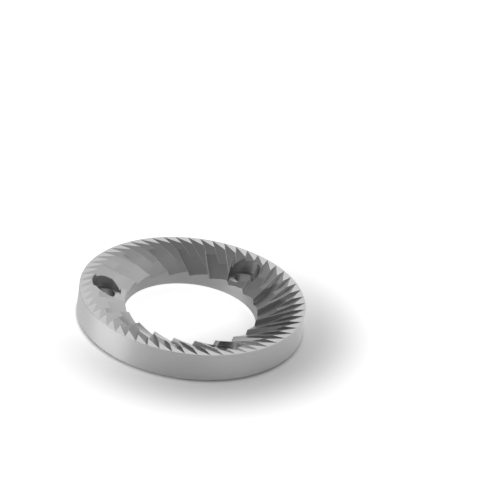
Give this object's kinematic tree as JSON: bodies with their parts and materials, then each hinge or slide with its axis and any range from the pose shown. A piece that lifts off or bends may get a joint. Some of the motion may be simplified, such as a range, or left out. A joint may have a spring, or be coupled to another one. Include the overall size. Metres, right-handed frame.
{
  "type": "coffee grinder burr",
  "caption": "Flat steel burr ring for a coffee grinder: skewed fine teeth at the rim, deeper coarse teeth at the bore, counterbored screw holes and a relieved back.",
  "frame": {"origin": "on the ring's axis, in the seating plane of the back", "axes": "+Z along the axis from the back towards the teeth; -X runs through the centre of one screw hole"},
  "size_m": [0.064, 0.064, 0.0086],
  "materials": {
    "burr_steel": "satin ground hardened steel"
  },
  "bodies": {
    "root": {"burr_ring": "burr_steel"}
  },
  "joints": []
}
